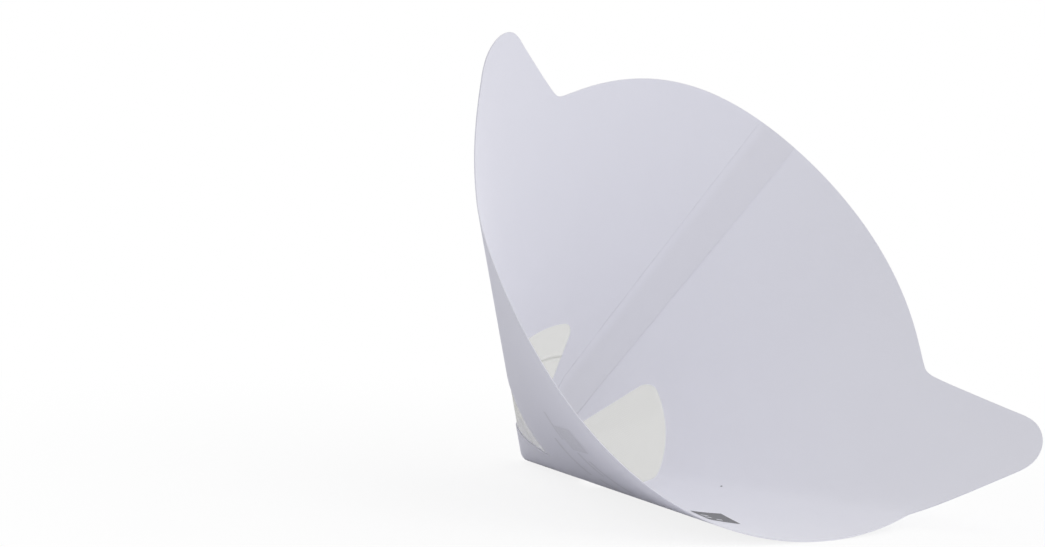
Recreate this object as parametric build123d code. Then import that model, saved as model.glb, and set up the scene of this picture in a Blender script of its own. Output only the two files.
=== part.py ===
"""Paper resin filter: a cone rolled from one glued sheet of paper, with two screened windows at its tip.

Millimetres, +Z up. The filter lies on its side as it comes to rest, mouth up and to the front right.
The sheet is drawn by its rulings, the straight lines that leave the tip. Each has a flat angle, measured on
the unrolled paper from the front centre line and positive towards the left ear. The seam is at the back.
"""

import math
import os
from bisect import bisect_right

from build123d import *

os.makedirs("parts", exist_ok=True)

# Paper blank. A reach is a distance from the tip, measured along the paper.
PAPER = 0.3
RIM_REACH = 130.2
EAR_REACH = 164.4
EAR_SIDE_GAP = 79.4  # from the tip to the line of an ear's straight side
EAR_TAPER = 26.7  # degrees between that side and the ear's centre line
EAR_NOTCH = 2.6  # rounding where an ear's side runs out into the rim
TIP_REACH = 4.0  # the blank's inner corner is cut off here, which leaves a small hole

# Ears, and the section of the opened mouth 100 mm along its axis: a round with a second and a third wave on it.
# Its width runs between the ears and its depth from front to back, and turns count from the right ear.
EAR = 54.0  # flat angle of each ear
SECTION_AXIAL = 100.0
WIDTH_WAVES = (78.9, -4.0, -2.5)  # of the cosine of one, two and three times the turn
DEPTH_WAVES = (66.0, -5.6, -10.8)  # of the sine
WIDTH_SKEW = 0.9  # of the sine of twice the turn
DEPTH_SKEW = -11.5  # of the cosine of twice the turn
FRONT_TURN = -92.2  # degrees, where the front centre line lies

# Windows, the same on both sides of the front centre line.
WINDOW_REACH = 49.0
WINDOW_TIP_GAP = 16.3  # from the tip to the window's straight side
WINDOW_LEAN = 12.0  # degrees between that side's normal and the ruling at right angles to the front centre line
WINDOW_SEAM_GAP = 20.5  # degrees from the seam's centre line
WINDOW_CORNER = 5.0
WINDOW_POINT = 0.5  # width of the sharp corner's blunt end

# Glued seam: the end of the sheet laid inside as a flap. Its sides are distances from the seam's centre line.
FLAP_RIGHT = 8.0  # at the rim
FLAP_TIP_RIGHT = 4.0  # where the line of the right side passes the tip
FLAP_LEFT = 6.3
FLAP_NARROW = 13.0  # degrees on each side of the centre line, which narrows the flap near the tip
FLAP_END_GAP = 0.5
FLAP_FEATHER = 3.5  # over which the flap's left side sinks to the sheet
FLAP_STEP = 0.26  # how far it sinks

# Screen, glued inside over both windows.
SCREEN = 0.12
GLUE = 0.02
SCREEN_MARGIN = 6.0
SCREEN_TIP_REACH = WINDOW_TIP_GAP - SCREEN_MARGIN
SCREEN_SEAM_GAP = 15.0  # degrees from the seam's centre line

# Rest: the ruling the filter lies on, and where that ruling points on the table.
REST_ANGLE = -25.0
REST_HEADING = -50.5

STATION = 2.2  # degrees of sheet between the points of a curve
EAR_STATION = 0.8  # the same on the ears
EAR_SPAN = 16.0  # degrees on each side of an ear's centre line where its shape is felt
SIDE_LINE = 75.0  # flat angle where the front half meets the back half
SAMPLES = 1440  # rays on which flat angles are measured


def section_ray(turn):
    """Unit vector from the tip through the opened section at a turn in degrees."""
    t = math.radians(turn)
    width = sum(wave * math.cos((i + 1) * t) for i, wave in enumerate(WIDTH_WAVES)) + WIDTH_SKEW * math.sin(2 * t)
    depth = sum(wave * math.sin((i + 1) * t) for i, wave in enumerate(DEPTH_WAVES)) + DEPTH_SKEW * math.cos(2 * t)
    return Vector(width, depth, SECTION_AXIAL).normalized()


TURN_STEP = 360.0 / SAMPLES
FLAT = [0.0]  # flat angle from the front centre line to each sample, counted towards the right ear
for sample in range(SAMPLES):
    turn = FRONT_TURN + sample * TURN_STEP
    FLAT.append(FLAT[-1] + section_ray(turn).get_angle(section_ray(turn + TURN_STEP)))
WHOLE = FLAT[-1]
SEAM = WHOLE / 2


def ray(angle):
    """Direction of the ruling at a flat angle, and the unit vector from it into the cone."""
    turned = -angle % WHOLE
    sample = bisect_right(FLAT, turned) - 1
    share = (turned - FLAT[sample]) / (FLAT[sample + 1] - FLAT[sample])
    turn = FRONT_TURN + (sample + share) * TURN_STEP
    direction = section_ray(turn)
    across = section_ray(turn + TURN_STEP) - section_ray(turn - TURN_STEP)
    return direction, direction.cross(across).normalized()


def on_sheet(angle, reach, depth):
    """Point at a flat angle and a reach, at a depth inside the paper's outer face."""
    direction, inward = ray(angle)
    return direction * reach + inward * depth


def off_ears(angle):
    """Flat angle from the nearer ear's centre line."""
    return min(abs(abs(angle) - EAR), abs(WHOLE - abs(angle) - EAR))


def rim(angle):
    """Reach of the blank's edge: an arc about the tip, with a tapered ear with a round end on each side."""
    off_ear = math.radians(min(off_ears(angle), EAR_SPAN))
    taper = math.radians(EAR_TAPER)
    end_centre = (EAR_REACH - EAR_SIDE_GAP) / (1 - math.sin(taper))
    end_radius = EAR_REACH - end_centre
    edge = EAR_SIDE_GAP / math.sin(off_ear + taper)
    if edge * math.cos(off_ear) > end_centre + end_radius * math.sin(taper):
        edge = end_centre * math.cos(off_ear) + math.sqrt(end_radius**2 - (end_centre * math.sin(off_ear)) ** 2)
    beyond_rim = edge - RIM_REACH
    return RIM_REACH + (beyond_rim + math.hypot(beyond_rim, EAR_NOTCH)) / 2


def window_side(angle):
    """Reach of a window's straight side at a flat angle from the front centre line."""
    return WINDOW_TIP_GAP / math.sin(math.radians(abs(angle) + WINDOW_LEAN))


def station_angles(start, end):
    """Flat angles of a curve's points, closer together on the ears."""
    breaks = [a for side in (-EAR, EAR) for a in (side - EAR_SPAN, side + EAR_SPAN) if start < a < end]
    angles = [start]
    for a, b in zip([start] + breaks, breaks + [end]):
        steps = math.ceil((b - a) / (EAR_STATION if off_ears((a + b) / 2) < EAR_SPAN else STATION))
        angles += [a + (b - a) * i / steps for i in range(1, steps + 1)]
    return angles


def layer(start, end, near, far, outer, inner):
    """Solid piece of sheet between two flat angles, two reaches that vary with the angle, and two depths."""
    angles = station_angles(start, end)

    def curve(reach, depth):
        return Edge.make_spline([on_sheet(a, reach(a), depth) for a in angles], parameters=angles)

    outer_near, outer_far = curve(near, outer), curve(far, outer)
    inner_near, inner_far = curve(near, inner), curve(far, inner)
    faces = [
        Face.make_surface_from_curves(first, second)
        for first, second in (
            (outer_near, outer_far),
            (inner_near, inner_far),
            (outer_near, inner_near),
            (outer_far, inner_far),
        )
    ]
    for a in (start, end):
        corners = [(near(a), outer), (far(a), outer), (far(a), inner), (near(a), inner)]
        faces.append(Face(Wire.make_polygon([on_sheet(a, reach, depth) for reach, depth in corners])))
    return Solid(Shell(faces)).fix()


def window(side):
    """Cutter for the window on one side: an arc, a straight side towards the tip and a side along the seam."""
    point = math.degrees(math.asin(WINDOW_TIP_GAP / (WINDOW_REACH - WINDOW_POINT))) - WINDOW_LEAN
    last = SEAM - WINDOW_SEAM_GAP
    start, end = sorted((side * point, side * last))
    cutter = layer(start, end, window_side, lambda a: WINDOW_REACH, -1.0, PAPER + 1.0)
    corner = on_sheet(side * last, WINDOW_REACH, PAPER / 2)
    return fillet(cutter.edges().sort_by_distance(corner)[0], WINDOW_CORNER)


def seam_flap():
    """The end of the sheet glued inside the other end."""
    band = layer(
        SEAM - FLAP_NARROW,
        SEAM + FLAP_NARROW,
        lambda a: TIP_REACH + FLAP_END_GAP,
        lambda a: RIM_REACH - FLAP_END_GAP,
        PAPER / 2,
        2 * PAPER,
    )
    direction, inward = ray(SEAM)
    along_seam = Plane(origin=(0, 0, 0), x_dir=direction, z_dir=inward)
    corners = [(0, -FLAP_TIP_RIGHT), (RIM_REACH, -FLAP_RIGHT), (RIM_REACH, FLAP_LEFT), (0, FLAP_LEFT)]
    sides = extrude(Polygon(*corners, align=None), amount=EAR_REACH, both=True)
    flap = band & along_seam.location * sides
    reach = RIM_REACH / 2
    left_edge = on_sheet(SEAM - math.degrees(math.atan(FLAP_LEFT / reach)), math.hypot(FLAP_LEFT, reach), 2 * PAPER)
    return chamfer(
        flap.edges().sort_by_distance(left_edge)[0],
        FLAP_FEATHER,
        FLAP_STEP,
        reference=flap.faces().sort_by_distance(on_sheet(SEAM, reach, 2 * PAPER))[0],
    )


def paper_cone():
    """The rolled sheet with its ears, windows and seam."""
    front = layer(-SIDE_LINE, SIDE_LINE, lambda a: TIP_REACH, rim, 0.0, PAPER)
    back = layer(SIDE_LINE, WHOLE - SIDE_LINE, lambda a: TIP_REACH, rim, 0.0, PAPER)
    return (back + seam_flap()) + front - window(1) - window(-1)


def mesh_screen():
    """Fine screen behind both windows, one piece that passes behind the front strip."""
    reach = WINDOW_REACH + SCREEN_MARGIN
    end = SEAM - SCREEN_SEAM_GAP
    inner = PAPER + GLUE
    return layer(-end, end, lambda a: SCREEN_TIP_REACH, lambda a: reach, inner, inner + SCREEN)


def lay_down(piece):
    """Turn a piece so that its rest ruling lies on the table and points along REST_HEADING."""
    direction, inward = ray(REST_ANGLE)
    lying = Plane(origin=(0, 0, 0), x_dir=direction, z_dir=inward)
    return Rot(0, 0, REST_HEADING) * lying.location.inverse() * piece


nodes = {"paper_cone": lay_down(paper_cone()), "mesh_screen": lay_down(mesh_screen())}
box = nodes["paper_cone"].bounding_box()
stand = Location((-box.center().X, -box.center().Y, -box.min.Z))
for name, piece in nodes.items():
    placed = piece.moved(stand)
    solids = placed.solids()
    print(name, "solids", len(solids), "valid", placed.is_valid, "volume", round(placed.volume, 2), "mm3")
    export_step(solids[0] if len(solids) == 1 else placed, f"parts/{name}.step")
print("size", box.size, "tip", Vector(0, 0, 0) + stand.position, "angles", WHOLE, EAR)
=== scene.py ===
"""Paper resin filter, lying on a pale floor in soft studio light. Metres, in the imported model's frame.

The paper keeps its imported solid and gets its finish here. The screen is remade as a woven sheet with flat
coordinates, and the print is a few plain fields of ink that follow the paper.

Named lengths are in millimetres and angles in degrees, unless a comment says otherwise. A flat angle is
measured on the unrolled paper from the front centre line, positive towards the left ear. A reach is a
distance from the tip along the paper, and a depth is measured inwards from the paper's outer face.
"""

import math

import bpy
from mathutils import Matrix, Vector

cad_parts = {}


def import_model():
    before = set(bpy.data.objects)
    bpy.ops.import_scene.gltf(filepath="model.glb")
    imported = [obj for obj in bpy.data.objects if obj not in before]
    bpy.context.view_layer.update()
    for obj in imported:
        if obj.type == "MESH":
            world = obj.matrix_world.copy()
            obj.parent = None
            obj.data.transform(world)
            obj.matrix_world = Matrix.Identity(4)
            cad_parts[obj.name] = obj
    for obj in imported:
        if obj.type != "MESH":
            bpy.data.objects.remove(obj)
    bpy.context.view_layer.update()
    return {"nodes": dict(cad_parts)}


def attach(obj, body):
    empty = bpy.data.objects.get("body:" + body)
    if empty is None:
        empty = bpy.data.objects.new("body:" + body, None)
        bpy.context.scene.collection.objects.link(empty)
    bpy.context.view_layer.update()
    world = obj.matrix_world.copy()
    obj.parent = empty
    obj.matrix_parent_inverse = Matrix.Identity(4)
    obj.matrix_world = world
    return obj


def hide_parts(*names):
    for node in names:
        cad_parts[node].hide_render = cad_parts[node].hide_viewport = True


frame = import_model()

MM = 0.001

# Section of the opened cone 100 mm along its axis, how the cone lies and where its tip is, as packed.
SECTION_AXIAL = 100.0
WIDTH_WAVES = (78.9, -4.0, -2.5)
DEPTH_WAVES = (66.0, -5.6, -10.8)
WIDTH_SKEW = 0.9
DEPTH_SKEW = -11.5
FRONT_TURN = -92.2
REST_ANGLE = -25.0
REST_HEADING = -50.5
TIP = Vector((-63.3695, 63.2732, 0.0))
PAPER = 0.3  # thickness
RIM_REACH = 130.2

# Windows, the same on both sides of the front centre line.
WINDOW_REACH = 49.0
WINDOW_TIP_GAP = 16.3
WINDOW_LEAN = 12.0
WINDOW_SEAM_GAP = 20.5
WINDOW_CORNER = 5.0
WINDOW_EDGE = (0.2, 0.8)  # distances inside a window's edge between which its finish changes; up to the nearer one the gauze is painted opaque paper colour over the shade of the window's cut wall

# Screen: a strip of gauze, pressed into its glue on the paper and free in the windows.
SCREEN_NEAR = 10.3
SCREEN_FAR = 55.0
SCREEN_SEAM_GAP = 15.0
SCREEN_GRID = (320, 112)
GLUED_DEPTH = 0.03  # beyond the paper's inner face
FREE_DEPTH = 0.08  # how much deeper it lies where it is free
FREE_RISE = 1.5  # distance inside a window's edge over which it rises
WEAVE_PITCH = 0.36
GAUZE_THROUGH = 0.5  # share of the light on a thread that passes through it
GAUZE_COVER = (0.45, 0.85)  # how opaque the middle of a gap and a thread are

# Crease across the left window, raised in the gauze and darkened with painted shade.
CREASE_REACH = 37.0
CREASE_HALF_WIDTH = 1.0
CREASE_CORE = 0.2
CREASE_HEIGHT = 0.4

# Double strip of paper at the seam, which gets painted shade, as distances from the seam's centre line.
SEAM_LEFT = 6.3
SEAM_RIGHT = 8.0  # at the rim
SEAM_TIP_RIGHT = 4.0  # where the line of the right edge passes the tip
SEAM_SOFT = 4.0  # width of the soft left edge
SEAM_SHARP = 0.15  # half width of the sharp right edge
SEAM_FADE = (4.0, 20.0)  # distances from the tip between which the strip begins to show

# Cut edge of the sheet's outer end, which runs down the outside beside the strip, drawn as a line of
# painted shade.
OUTER_EDGE_START = 12.0  # from the tip
OUTER_EDGE_END_GAP = 0.5  # from the rim
OUTER_EDGE_WIDTH = 0.3
OUTER_EDGE_DEPTH = -0.04
OUTER_EDGE_STEPS = 60

# Print, as (left, right, near, far) in flat millimetres from the tip.
INK_BLOCKS = ((-36.9, -27.6, 85.0, 101.0), (13.8, 21.5, 89.5, 103.5))
INK_BARS = (
    (17.5, 26.0, 86.4, 87.8),
    (3.0, 12.0, 91.0, 92.4),
    (-6.0, 9.0, 95.2, 96.6),
    (-20.0, -10.0, 89.8, 91.2),
    (2.0, 16.0, 76.8, 78.2),
    (-9.0, -1.0, 79.8, 81.2),
    (-24.0, -13.0, 78.3, 79.7),
)
INK_SPECK = (-49.0, -48.4, 51.7, 52.3)
INK_GAPS = ((-30.4, -28.2, 91.6, 93.2), (-30.2, -28.2, 95.2, 96.8), (-32.6, -30.9, 97.2, 98.9))
INK_DEPTH = 0.08  # beyond the paper's inner face
INK_GAP_DEPTH = 0.11  # the same, for the pale fields over the ink
INK_GRID = 12
TRACE_DEPTH = -0.03
TRACE_SPREAD = 0.5  # how far a trace reaches past its ink on each side
TRACE_LEFT = -12.0  # fields that start farther left leave no trace outside

# Colours, with their alpha.
WHITE = (1.0, 1.0, 1.0, 1.0)
PAPER_COLOUR = (0.82, 0.82, 0.875, 1.0)
PAPER_DIP = (0.80, 0.80, 0.857, 1.0)
# Painted shade on the double strip at the seam, for the light that its two layers let through less.
SEAM_PAINTED_SHADE = (0.955, 0.953, 0.95, 1.0)
GAUZE_THREAD = (0.75, 0.75, 0.72, 1.0)
# Painted shade between the threads of the gauze.
GAUZE_GAP_PAINTED_SHADE = (0.67, 0.67, 0.64, 1.0)
# Painted shade along the crease in the gauze.
GAUZE_FOLD_PAINTED_SHADE = (0.69, 0.69, 0.66, 1.0)
GREY_INK = (0.20, 0.20, 0.21)
PALE_INK = (0.66, 0.66, 0.70)
INK_SHOWN_THROUGH = (0.66, 0.66, 0.70)
# Painted shade along the step of the outer layer's cut edge.
CUT_EDGE_PAINTED_SHADE = (0.64, 0.64, 0.68)
FLOOR_COLOUR = (0.92, 0.92, 0.97, 1.0)

# Noise of the finishes, as (scale per metre, detail).
PAPER_CLOUD = (45.0, 4.0)
GAUZE_CLOUD = (120.0, 3.0)
INK_CLOUD = (900.0, 4.0)
FIBRE = (1500.0, 6.0)

# Bumps of the finishes, as (height in metres, strength).
PAPER_BUMP = (0.0008, 0.3)
GAUZE_BUMP = (0.0008, 0.25)
FIBRE_BUMP = (0.00004, 0.3)
THREAD_BUMP = (0.00005, 0.4)

# Gloss of the finishes, and how far their noise changes roughness and colour.
SPECULAR_LEVEL = 0.25
PAPER_ROUGHNESS = (0.78, 0.92)
GAUZE_ROUGHNESS = (0.72, 0.88)
INK_ROUGHNESS = (0.7, 0.9)
FIBRE_TINT = 0.3
INK_LIGHTEST = 1.22  # times the ink's own colour
FLOOR_ROUGHNESS = 0.9

# Rounding of the paper's edges, drawn by shading alone.
EDGE_ROUNDING = 0.12
EDGE_SAMPLES = 6

# Light, in the world's strength and the lamp's watts, and the floor, in metres.
SKY_LEVEL = 0.725
SKY_RIGHT = 0.385
SKY_BACK = 0.025
SKY_UP = 0.056
LAMP_PLACE = (0.7, -0.5, 1.6)
LAMP_AIM = (0.0, 0.0, 0.05)
LAMP_SIZE = 1.4
LAMP_POWER = 3.8
FLOOR_SIZE = 8.0
FLOOR_DROP = 0.00002
FLOOR_WHITE = (0.08, 0.30)  # distances from the middle between which the floor turns plain white
FLOOR_GLOW = 0.85  # share of plain white next to the filter

# Camera that matches the photograph.
CAMERA_PLACE = Vector((-67.93, -609.65, 105.32))
CAMERA_DOWN = 3.96
CAMERA_ROLL = 4.66
CAMERA_LENS = 73.64
CAMERA_SENSOR = 36.0
CAMERA_NEAREST = 10.0


# The rolled sheet.
def section_ray(turn):
    """Unit vector from the tip through the section at a turn, in the cone's own axes."""
    t = math.radians(turn)
    width = sum(wave * math.cos((i + 1) * t) for i, wave in enumerate(WIDTH_WAVES))
    depth = sum(wave * math.sin((i + 1) * t) for i, wave in enumerate(DEPTH_WAVES))
    width += WIDTH_SKEW * math.sin(2 * t)
    depth += DEPTH_SKEW * math.cos(2 * t)
    return Vector((width, depth, SECTION_AXIAL)).normalized()


SAMPLES = 1440
TURN_STEP = 360.0 / SAMPLES
FLAT = [0.0]  # flat angle from the front centre line to each sample, counted towards the right ear
for sample in range(SAMPLES):
    here = section_ray(FRONT_TURN + sample * TURN_STEP)
    there = section_ray(FRONT_TURN + (sample + 1) * TURN_STEP)
    FLAT.append(FLAT[-1] + math.degrees(here.angle(there)))
WHOLE = FLAT[-1]
SEAM = WHOLE / 2


def cone_ray(angle):
    """Ruling and inward normal at a flat angle, in the cone's own axes."""
    turned = -angle % WHOLE
    low, high = 0, SAMPLES
    while high - low > 1:
        middle = (low + high) // 2
        low, high = (middle, high) if FLAT[middle] <= turned else (low, middle)
    share = (turned - FLAT[low]) / (FLAT[low + 1] - FLAT[low])
    turn = FRONT_TURN + (low + share) * TURN_STEP
    direction = section_ray(turn)
    across = section_ray(turn + TURN_STEP) - section_ray(turn - TURN_STEP)
    return direction, direction.cross(across).normalized()


def lying_axes():
    """Rotation from the cone's own axes to the row frame, with the rest ruling on the floor."""
    direction, inward = cone_ray(REST_ANGLE)
    lying = Matrix((direction, inward.cross(direction), inward))
    return Matrix.Rotation(math.radians(REST_HEADING), 3, "Z") @ lying


AXES = lying_axes()


def on_sheet(angle, reach, depth):
    """Point in metres in the row frame at a flat angle, a reach and a depth."""
    direction, inward = cone_ray(angle)
    return (AXES @ (direction * reach + inward * depth) + TIP) * MM


def on_flat(x, y, depth):
    """Point in metres in the row frame at flat millimetres across and along the front centre line."""
    return on_sheet(math.degrees(math.atan2(x, y)), math.hypot(x, y), depth)


# Nodes.
def material(name):
    """New material with its node tree and its principled shader."""
    made = bpy.data.materials.new(name)
    made.use_nodes = True
    shader = made.node_tree.nodes["Principled BSDF"]
    shader.inputs["Specular IOR Level"].default_value = SPECULAR_LEVEL
    return made, made.node_tree, shader


def add(tree, kind, **sockets):
    """New node with values for some of its sockets."""
    node = tree.nodes.new(kind)
    for name, value in sockets.items():
        node.inputs[name].default_value = value
    return node


def object_place(tree):
    """Shaded point in metres in the object's own frame."""
    return tree.nodes.new("ShaderNodeTexCoord").outputs["Object"]


def noise(tree, place, scale, detail):
    """Noise from 0 to 1."""
    node = add(tree, "ShaderNodeTexNoise", Scale=scale, Detail=detail)
    tree.links.new(place, node.inputs["Vector"])
    return node.outputs["Fac"]


def bump(tree, height, distance, strength, normal=None):
    """Normal bent by a height, over the plain normal or over one already bent."""
    node = add(tree, "ShaderNodeBump", Distance=distance, Strength=strength)
    tree.links.new(height, node.inputs["Height"])
    if normal is not None:
        tree.links.new(normal, node.inputs["Normal"])
    return node.outputs["Normal"]


def math_node(tree, operation, *values):
    """Result of one sum on numbers and outputs."""
    node = tree.nodes.new("ShaderNodeMath")
    node.operation = operation
    for socket, value in zip(node.inputs, values):
        if isinstance(value, (int, float)):
            socket.default_value = value
        else:
            tree.links.new(value, socket)
    return node.outputs[0]


def rest_of(tree, share):
    """What a share leaves of 1."""
    return math_node(tree, "SUBTRACT", 1.0, share)


def between(tree, share, low, high):
    """Number that is low at a share of 0 and high at a share of 1."""
    return math_node(tree, "MULTIPLY_ADD", share, high - low, low)


def hypotenuse(tree, x, y):
    """Long side of the triangle whose short sides, at right angles, are x and y."""
    return math_node(tree, "SQRT", math_node(tree, "MULTIPLY_ADD", x, x, math_node(tree, "MULTIPLY", y, y)))


def ramp(tree, value, low, high):
    """0 below low, 1 above high and a smooth rise between."""
    node = tree.nodes.new("ShaderNodeMapRange")
    node.interpolation_type = "SMOOTHSTEP"
    node.inputs["From Min"].default_value = low
    node.inputs["From Max"].default_value = high
    tree.links.new(value, node.inputs["Value"])
    return node.outputs["Result"]


def mix_colour(tree, share, first, second, blend="MIX"):
    """Colour between the first, at a share of 0, and the second on top of it, at a share of 1."""
    node = tree.nodes.new("ShaderNodeMix")
    node.data_type = "RGBA"
    node.blend_type = blend
    for socket, value in ((node.inputs[0], share), (node.inputs[6], first), (node.inputs[7], second)):
        if isinstance(value, (tuple, float)):
            socket.default_value = value
        else:
            tree.links.new(value, socket)
    return node.outputs[2]


def mix_shader(tree, share, first, second):
    """Shader between the first, at a share of 0, and the second, at a share of 1."""
    node = tree.nodes.new("ShaderNodeMixShader")
    for socket, output in zip(node.inputs, (share, first, second)):
        tree.links.new(output, socket)
    return node.outputs[0]


def dot(tree, vector, axis):
    """Length of a vector along a fixed axis."""
    node = tree.nodes.new("ShaderNodeVectorMath")
    node.operation = "DOT_PRODUCT"
    tree.links.new(vector, node.inputs[0])
    node.inputs[1].default_value = axis
    return node.outputs["Value"]


def from_tip(tree):
    """Vector from the tip to the shaded point, in metres."""
    node = tree.nodes.new("ShaderNodeVectorMath")
    node.operation = "SUBTRACT"
    tree.links.new(object_place(tree), node.inputs[0])
    node.inputs[1].default_value = TIP * MM
    return node.outputs["Vector"]


# Finishes.
def seam_band(tree, place):
    """1 on the glued double strip along the back seam, soft on its left edge and sharp on its right."""
    direction, inward = cone_ray(SEAM)
    along = dot(tree, place, AXES @ direction)
    across = dot(tree, place, AXES @ inward.cross(direction))
    behind = dot(tree, place, AXES @ Vector((0.0, 1.0, 0.0)))
    widening = (SEAM_RIGHT - SEAM_TIP_RIGHT) / RIM_REACH
    right = math_node(tree, "MULTIPLY_ADD", along, widening, SEAM_TIP_RIGHT * MM)
    right_edge = ramp(tree, math_node(tree, "ADD", across, right), -SEAM_SHARP * MM, SEAM_SHARP * MM)
    left_edge = ramp(tree, across, (SEAM_LEFT - SEAM_SOFT) * MM, SEAM_LEFT * MM)
    band = math_node(tree, "MULTIPLY", right_edge, rest_of(tree, left_edge))
    on_back = math_node(tree, "GREATER_THAN", behind, 0.0)
    off_tip = ramp(tree, along, SEAM_FADE[0] * MM, SEAM_FADE[1] * MM)
    return math_node(tree, "MULTIPLY", band, math_node(tree, "MULTIPLY", on_back, off_tip))


def paper_material():
    """Uncoated white paper: fine fibres, a faint cloudiness and painted shade on the double strip at the
    seam.
    """
    made, tree, shader = material("uncoated_paper")
    place = object_place(tree)
    cloud = noise(tree, place, *PAPER_CLOUD)
    fibre = noise(tree, place, *FIBRE)
    colour = mix_colour(tree, cloud, PAPER_COLOUR, PAPER_DIP)
    colour = mix_colour(tree, math_node(tree, "MULTIPLY", fibre, FIBRE_TINT), colour, PAPER_DIP)
    # Painted shade on the double strip at the seam.
    shade = mix_colour(tree, seam_band(tree, from_tip(tree)), WHITE, SEAM_PAINTED_SHADE)
    tree.links.new(mix_colour(tree, 1.0, colour, shade, "MULTIPLY"), shader.inputs["Base Color"])
    tree.links.new(between(tree, fibre, *PAPER_ROUGHNESS), shader.inputs["Roughness"])
    edge = add(tree, "ShaderNodeBevel", Radius=EDGE_ROUNDING * MM)
    edge.samples = EDGE_SAMPLES
    soft = bump(tree, cloud, *PAPER_BUMP, edge.outputs["Normal"])
    tree.links.new(bump(tree, fibre, *FIBRE_BUMP, soft), shader.inputs["Normal"])
    return made


def window_mask(tree, x, y):
    """1 where the gauze spans a window and 0 where it is glued or lies just inside a window's edge, painted
    like the paper over the wall's shade, at a flat place.
    """
    side = math_node(tree, "ABSOLUTE", x)
    reach = hypotenuse(tree, side, y)
    angle = math_node(tree, "ARCTAN2", side, y)
    lean = math_node(tree, "SINE", math_node(tree, "ADD", angle, math.radians(WINDOW_LEAN)))
    off_seam = math_node(tree, "SUBTRACT", math.radians(SEAM - WINDOW_SEAM_GAP), angle)
    from_arc = math_node(tree, "SUBTRACT", WINDOW_REACH * MM, reach)
    from_side = math_node(tree, "SUBTRACT", math_node(tree, "MULTIPLY", reach, lean), WINDOW_TIP_GAP * MM)
    from_seam = math_node(tree, "MULTIPLY", reach, off_seam)
    short = [
        math_node(tree, "MAXIMUM", math_node(tree, "SUBTRACT", WINDOW_CORNER * MM, inside), 0.0)
        for inside in (from_arc, from_seam)
    ]
    from_corner = math_node(tree, "SUBTRACT", WINDOW_CORNER * MM, hypotenuse(tree, *short))
    nearest = math_node(tree, "MINIMUM", from_side, from_corner)
    return ramp(tree, nearest, WINDOW_EDGE[0] * MM, WINDOW_EDGE[1] * MM)


def crease_mask(tree, x, y):
    """1 along the crease across the left window, where the gauze lies double and gets painted shade, at a
    flat place.
    """
    beyond = math_node(tree, "SUBTRACT", hypotenuse(tree, x, y), CREASE_REACH * MM)
    off = math_node(tree, "ABSOLUTE", beyond)
    near = rest_of(tree, ramp(tree, off, CREASE_CORE * MM, CREASE_HALF_WIDTH * MM))
    return math_node(tree, "MULTIPLY", near, math_node(tree, "GREATER_THAN", x, 0.0))


def weave(tree, x, y):
    """1 on a thread and 0 in the middle of a gap between threads, at a flat place."""
    turns = 2 * math.pi / (WEAVE_PITCH * MM)
    warp, weft = (math_node(tree, "COSINE", math_node(tree, "MULTIPLY", way, turns)) for way in (x, y))
    return math_node(tree, "MULTIPLY_ADD", math_node(tree, "MAXIMUM", warp, weft), 0.5, 0.5)


def screen_material():
    """Cream gauze whose crossed threads let light through, with painted shade in its gaps and along its
    crease, white like the paper where it is glued.
    """
    made, tree, shader = material("woven_gauze")
    flat = tree.nodes.new("ShaderNodeUVMap").outputs["UV"]
    split = tree.nodes.new("ShaderNodeSeparateXYZ")
    tree.links.new(flat, split.inputs[0])
    x, y = split.outputs[0], split.outputs[1]
    # Painted shade darkens the gaps between the threads.
    cover = weave(tree, x, y)
    cloud = noise(tree, flat, *GAUZE_CLOUD)
    window = window_mask(tree, x, y)
    fold = crease_mask(tree, x, y)
    # Painted shade darkens the gauze along the crease.
    threads = mix_colour(tree, fold, mix_colour(tree, cover, GAUZE_GAP_PAINTED_SHADE, GAUZE_THREAD), GAUZE_FOLD_PAINTED_SHADE)
    glued = mix_colour(tree, cloud, PAPER_COLOUR, PAPER_DIP)
    tree.links.new(mix_colour(tree, window, glued, threads), shader.inputs["Base Color"])
    tree.links.new(between(tree, cloud, *GAUZE_ROUGHNESS), shader.inputs["Roughness"])
    soft = bump(tree, cloud, *GAUZE_BUMP)
    height = math_node(tree, "MULTIPLY", cover, window)
    tree.links.new(bump(tree, height, *THREAD_BUMP, soft), shader.inputs["Normal"])
    through = tree.nodes.new("ShaderNodeBsdfTranslucent")
    tree.links.new(threads, through.inputs["Color"])
    share = math_node(tree, "MULTIPLY", window, GAUZE_THROUGH)
    body = mix_shader(tree, share, shader.outputs[0], through.outputs[0])
    closed = math_node(tree, "MAXIMUM", fold, rest_of(tree, window))
    opaque = math_node(tree, "MAXIMUM", between(tree, cover, *GAUZE_COVER), closed)
    clear = tree.nodes.new("ShaderNodeBsdfTransparent").outputs[0]
    tree.links.new(mix_shader(tree, opaque, clear, body), tree.nodes["Material Output"].inputs["Surface"])
    return made


def ink_material(name, colour):
    """Flat ink, a little uneven where the paper's fibres take it."""
    made, tree, shader = material(name)
    place = object_place(tree)
    cloud = noise(tree, place, *INK_CLOUD)
    light = tuple(min(1.0, part * INK_LIGHTEST) for part in colour)
    tree.links.new(mix_colour(tree, cloud, (*colour, 1.0), (*light, 1.0)), shader.inputs["Base Color"])
    tree.links.new(between(tree, cloud, *INK_ROUGHNESS), shader.inputs["Roughness"])
    tree.links.new(bump(tree, noise(tree, place, *FIBRE), *FIBRE_BUMP), shader.inputs["Normal"])
    return made


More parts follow.
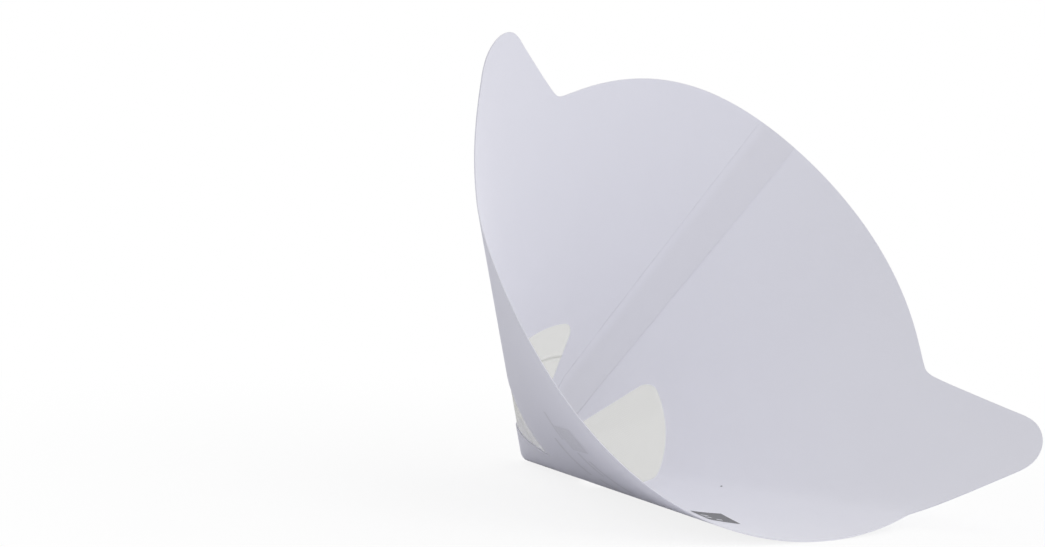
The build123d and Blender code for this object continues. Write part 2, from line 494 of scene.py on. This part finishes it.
# Pieces.
def grid_object(name, columns, rows, point, flat=None):
    """Mesh of columns by rows, with its place from point(u, v) and its flat place from flat(u, v)."""
    shares = [(i / columns, j / rows) for j in range(rows + 1) for i in range(columns + 1)]
    faces = []
    for j in range(rows):
        for i in range(columns):
            k = j * (columns + 1) + i
            faces.append((k, k + 1, k + columns + 2, k + columns + 1))
    mesh = bpy.data.meshes.new(name)
    mesh.from_pydata([point(u, v) for u, v in shares], [], faces)
    if flat is not None:
        layer = mesh.uv_layers.new(name="flat")
        spots = [flat(u, v) for u, v in shares]
        for loop in mesh.loops:
            layer.data[loop.index].uv = spots[loop.vertex_index]
    mesh.polygons.foreach_set("use_smooth", [True] * len(mesh.polygons))
    made = bpy.data.objects.new(name, mesh)
    bpy.context.scene.collection.objects.link(made)
    return made


def paper_field(name, columns, rows, point, finish):
    """Grid that lies on the paper and is part of its finish."""
    field = grid_object(name, columns, rows, point)
    field.data.materials.append(finish)
    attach(field, "root")


def window_depth(angle, reach):
    """How far inside a window's edge a point of the gauze lies, and less than 0 where it is glued."""
    side = abs(angle)
    return min(
        WINDOW_REACH - reach,
        reach * math.sin(math.radians(side + WINDOW_LEAN)) - WINDOW_TIP_GAP,
        reach * math.radians(SEAM - WINDOW_SEAM_GAP - side),
    )


def screen_sheet():
    """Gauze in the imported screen's place, pressed into its glue on the paper and free in the windows."""
    end = SEAM - SCREEN_SEAM_GAP

    def spot(u, v):
        return -end + 2 * end * u, SCREEN_NEAR + (SCREEN_FAR - SCREEN_NEAR) * v

    def flat(u, v):
        angle, reach = spot(u, v)
        return reach * math.sin(math.radians(angle)) * MM, reach * math.cos(math.radians(angle)) * MM

    def point(u, v):
        angle, reach = spot(u, v)
        free = min(1.0, max(0.0, window_depth(angle, reach) / FREE_RISE))
        crease = math.exp(-(((reach - CREASE_REACH) / CREASE_HALF_WIDTH) ** 2)) if angle > 0 else 0.0
        return on_sheet(angle, reach, PAPER + GLUED_DEPTH + free * (FREE_DEPTH + CREASE_HEIGHT * crease))

    sheet = grid_object("gauze", *SCREEN_GRID, point, flat)
    sheet.data.materials.append(screen_material())
    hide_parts("mesh_screen")
    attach(sheet, "root")


def ink_field(name, box, depth, finish):
    """One rectangle of ink on the sheet."""
    left, right, near, far = box

    def point(u, v):
        return on_flat(left + (right - left) * u, near + (far - near) * v, depth)

    paper_field(name, INK_GRID, INK_GRID, point, finish)


def print_marks():
    """Ink on the inside face, pale fields in it, and the faint trace that the paper lets through."""
    ink = ink_material("grey_ink", GREY_INK)
    pale = ink_material("pale_ink", PALE_INK)
    trace = ink_material("ink_shown_through", INK_SHOWN_THROUGH)
    for k, box in enumerate(INK_BLOCKS + INK_BARS + (INK_SPECK,)):
        ink_field(f"ink_field_{k}", box, PAPER + INK_DEPTH, ink)
        left, right, near, far = box
        if left > TRACE_LEFT:
            spread = (left - TRACE_SPREAD, right + TRACE_SPREAD, near - TRACE_SPREAD, far + TRACE_SPREAD)
            ink_field(f"ink_trace_{k}", spread, TRACE_DEPTH, trace)
    for k, box in enumerate(INK_GAPS):
        ink_field(f"ink_gap_{k}", box, PAPER + INK_GAP_DEPTH, pale)


def seam_edge():
    """Cut edge of the outer layer at the seam, a fine line of painted shade down the outside of the cone.
    """
    end = RIM_REACH - OUTER_EDGE_END_GAP

    def point(u, v):
        along = OUTER_EDGE_START + (end - OUTER_EDGE_START) * u
        across = SEAM_LEFT + OUTER_EDGE_WIDTH * v
        angle = SEAM - math.degrees(math.atan2(across, along))
        return on_sheet(angle, math.hypot(across, along), OUTER_EDGE_DEPTH)

    # The line is painted shade along the step of the cut edge, given the ink finish's slight unevenness.
    paper_field("outer_seam_edge_painted_shade", OUTER_EDGE_STEPS, 1, point, ink_material("cut_edge_painted_shade", CUT_EDGE_PAINTED_SHADE))


def dress_paper():
    """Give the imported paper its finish."""
    finish = paper_material()
    for slot in frame["nodes"]["paper_cone"].material_slots:
        slot.material = finish


# Stage.
def camera_rays(tree):
    """1 for rays of the camera, of gloss and of transmission."""
    path = tree.nodes.new("ShaderNodeLightPath")
    seen = math_node(tree, "MAXIMUM", path.outputs["Is Camera Ray"], path.outputs["Is Glossy Ray"])
    return math_node(tree, "MAXIMUM", seen, path.outputs["Is Transmission Ray"])


def floor():
    """Pale floor that takes the filter's shadow and turns plain white away from it."""
    bpy.ops.mesh.primitive_plane_add(size=FLOOR_SIZE, location=(0, 0, -FLOOR_DROP))
    plane = bpy.context.object
    plane.name = "floor"
    made, tree, shader = material("pale_floor")
    shader.inputs["Base Color"].default_value = FLOOR_COLOUR
    shader.inputs["Roughness"].default_value = FLOOR_ROUGHNESS
    shader.inputs["Specular IOR Level"].default_value = 0.0
    lit = add(tree, "ShaderNodeBsdfDiffuse", Color=WHITE)
    glow = add(tree, "ShaderNodeEmission", Color=WHITE, Strength=1.0)
    length = tree.nodes.new("ShaderNodeVectorMath")
    length.operation = "LENGTH"
    tree.links.new(object_place(tree), length.inputs[0])
    away = ramp(tree, length.outputs["Value"], *FLOOR_WHITE)
    white = between(tree, away, FLOOR_GLOW, 1.0)
    seen = mix_shader(tree, white, lit.outputs[0], glow.outputs[0])
    shown = mix_shader(tree, camera_rays(tree), shader.outputs[0], seen)
    tree.links.new(shown, tree.nodes["Material Output"].inputs["Surface"])
    plane.data.materials.append(made)


def world():
    """White surroundings, and a light from them that is stronger from the right."""
    sky = bpy.data.worlds.new("studio")
    sky.use_nodes = True
    bpy.context.scene.world = sky
    tree = sky.node_tree
    split = tree.nodes.new("ShaderNodeSeparateXYZ")
    tree.links.new(tree.nodes.new("ShaderNodeTexCoord").outputs["Generated"], split.inputs[0])
    level = SKY_LEVEL
    for way, lean in zip(split.outputs, (SKY_RIGHT, SKY_BACK, SKY_UP)):
        level = math_node(tree, "MULTIPLY_ADD", way, lean, level)
    light = tree.nodes["Background"]
    light.inputs["Color"].default_value = WHITE
    tree.links.new(level, light.inputs["Strength"])
    white = add(tree, "ShaderNodeBackground", Color=WHITE, Strength=1.0)
    shown = mix_shader(tree, camera_rays(tree), light.outputs[0], white.outputs[0])
    tree.links.new(shown, tree.nodes["World Output"].inputs["Surface"])


def softbox():
    """Large square lamp above, to the front right."""
    lamp = bpy.data.lights.new("softbox", "AREA")
    lamp.shape = "SQUARE"
    lamp.size = LAMP_SIZE
    lamp.energy = LAMP_POWER
    made = bpy.data.objects.new("softbox", lamp)
    made.location = LAMP_PLACE
    made.rotation_euler = (Vector(LAMP_AIM) - Vector(LAMP_PLACE)).to_track_quat("-Z", "Y").to_euler()
    bpy.context.scene.collection.objects.link(made)


def camera():
    """Camera at the photograph's place, looking along +Y and slightly down."""
    data = bpy.data.cameras.new("camera")
    data.sensor_width = CAMERA_SENSOR
    data.lens = CAMERA_LENS
    data.clip_start = CAMERA_NEAREST * MM
    made = bpy.data.objects.new("camera", data)
    down = Matrix.Rotation(math.radians(90.0 - CAMERA_DOWN), 4, "X")
    roll = Matrix.Rotation(math.radians(CAMERA_ROLL), 4, "Z")
    made.matrix_world = Matrix.Translation(CAMERA_PLACE * MM) @ down @ roll
    bpy.context.scene.collection.objects.link(made)
    bpy.context.scene.camera = made


camera()
world()
floor()
softbox()
dress_paper()
screen_sheet()
print_marks()
seam_edge()
bpy.context.scene.view_settings.view_transform = "Standard"
